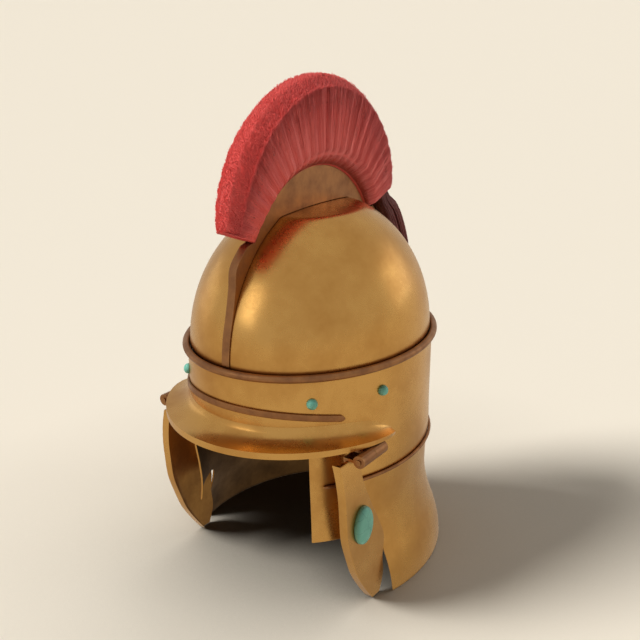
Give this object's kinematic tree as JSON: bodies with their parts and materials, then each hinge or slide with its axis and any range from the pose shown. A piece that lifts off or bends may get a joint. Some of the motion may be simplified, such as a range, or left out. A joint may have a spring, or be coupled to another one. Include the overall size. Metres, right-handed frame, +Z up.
{
  "type": "crested helmet",
  "caption": "Tall bronze helmet with a red horsehair crest and tail, a crescent brow peak, a flared neck guard and hinged cheek guards with turquoise bosses.",
  "frame": {"origin": "on the floor under the middle of the helmet's box, with the helmet standing on its neck rim", "axes": "+Z up through the crown, -Y out through the face opening, +X to the wearer's left"},
  "size_m": [0.2084, 0.2843, 0.4014],
  "materials": {
    "bronze": "planished and polished golden bronze sheet",
    "brown_bronze": "brown patinated bronze, rubbed on its edges",
    "red_horsehair": "red dyed horsehair, clipped",
    "dark_horsehair": "dark red dyed horsehair, hanging loose",
    "turquoise": "polished opaque turquoise stone"
  },
  "bodies": {
    "helmet": {"bowl": "bronze", "skirt": "bronze", "brow_peak": "bronze", "brow_ring": "brown_bronze", "neck_ring": "brown_bronze", "brow_strip": "brown_bronze", "crest_ridge": "brown_bronze", "crest": "red_horsehair", "crest_tail": "dark_horsehair", "brow_stone_1": "turquoise", "brow_stone_2": "turquoise", "brow_stone_3": "turquoise", "brow_stone_4": "turquoise", "hinge_lug_left": "brown_bronze", "hinge_lug_right": "brown_bronze", "hinge_pin_left": "brown_bronze", "hinge_pin_right": "brown_bronze"},
    "left_cheek": {"cheek_guard_left": "bronze", "cheek_boss_left": "turquoise", "hinge_leaf_left": "brown_bronze"},
    "right_cheek": {"cheek_guard_right": "bronze", "cheek_boss_right": "turquoise", "hinge_leaf_right": "brown_bronze"}
  },
  "joints": [
    {"name": "left_cheek_hinge", "type": "hinge", "parent": "helmet", "child": "left_cheek", "pos_m": [0.0965, -0.0703, 0.137], "axis": [0, -1, 0], "range_deg": [0, 110]},
    {"name": "right_cheek_hinge", "type": "hinge", "parent": "helmet", "child": "right_cheek", "pos_m": [-0.0965, -0.0703, 0.137], "axis": [0, 1, 0], "range_deg": [0, 110]}
  ]
}
